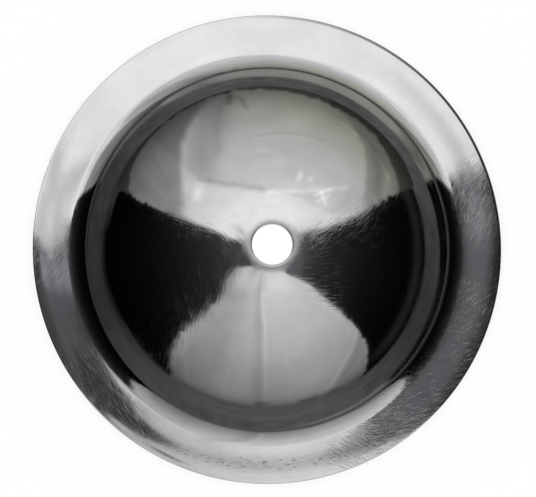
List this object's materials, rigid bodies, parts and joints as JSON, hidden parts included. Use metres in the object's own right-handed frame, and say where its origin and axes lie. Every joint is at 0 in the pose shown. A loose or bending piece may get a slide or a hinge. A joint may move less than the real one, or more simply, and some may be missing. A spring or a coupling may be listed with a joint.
{
  "type": "bell cymbal",
  "caption": "Small thick cymbal shaped as a deep polished dome with a narrow rim and a round mounting hole in its crown; it is struck for a clear bell tone.",
  "frame": {"origin": "centre of the flat underside of the rim, on the cymbal's axis", "axes": "+Z along the cymbal's axis, from the rim up to the crown; X and Y lie in the plane that the rim rests on, and the cymbal is the same all round"},
  "size_m": [0.1524, 0.1524, 0.0363],
  "materials": {
    "white_bronze": "mirror polished, with fine buffing lines"
  },
  "bodies": {
    "root": {"bell_cymbal": "white_bronze"}
  },
  "joints": []
}
